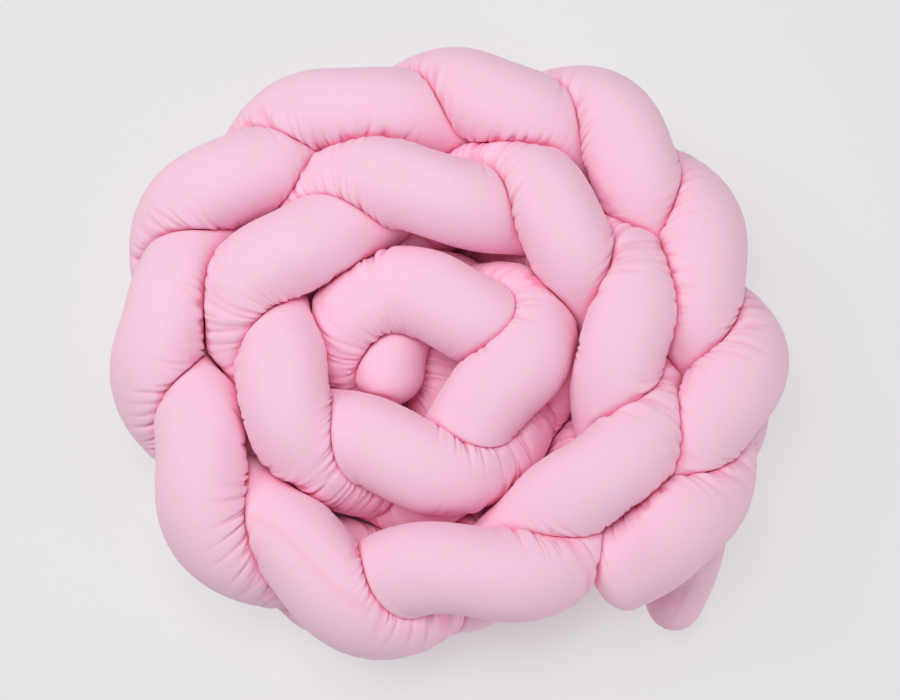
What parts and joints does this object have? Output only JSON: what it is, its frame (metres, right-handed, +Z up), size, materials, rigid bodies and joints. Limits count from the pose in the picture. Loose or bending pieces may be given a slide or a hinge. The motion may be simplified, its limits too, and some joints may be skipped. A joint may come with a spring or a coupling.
{
  "type": "knot crib bumper",
  "caption": "Soft crib bumper: plump stuffed cotton tubes in a plait, coiled on edge into a rose; lines a cot's sides or lies as a cushion.",
  "frame": {"origin": "middle of the coil's footprint, on the floor", "axes": "+Z up, +X to the right of the picture, +Y to the top of the picture"},
  "size_m": [0.6594, 0.6048, 0.2049],
  "materials": {
    "pink_cotton": "matt woven cotton"
  },
  "bodies": {
    "root": {"first_tube": "pink_cotton", "second_tube": "pink_cotton", "third_tube": "pink_cotton"}
  },
  "joints": []
}
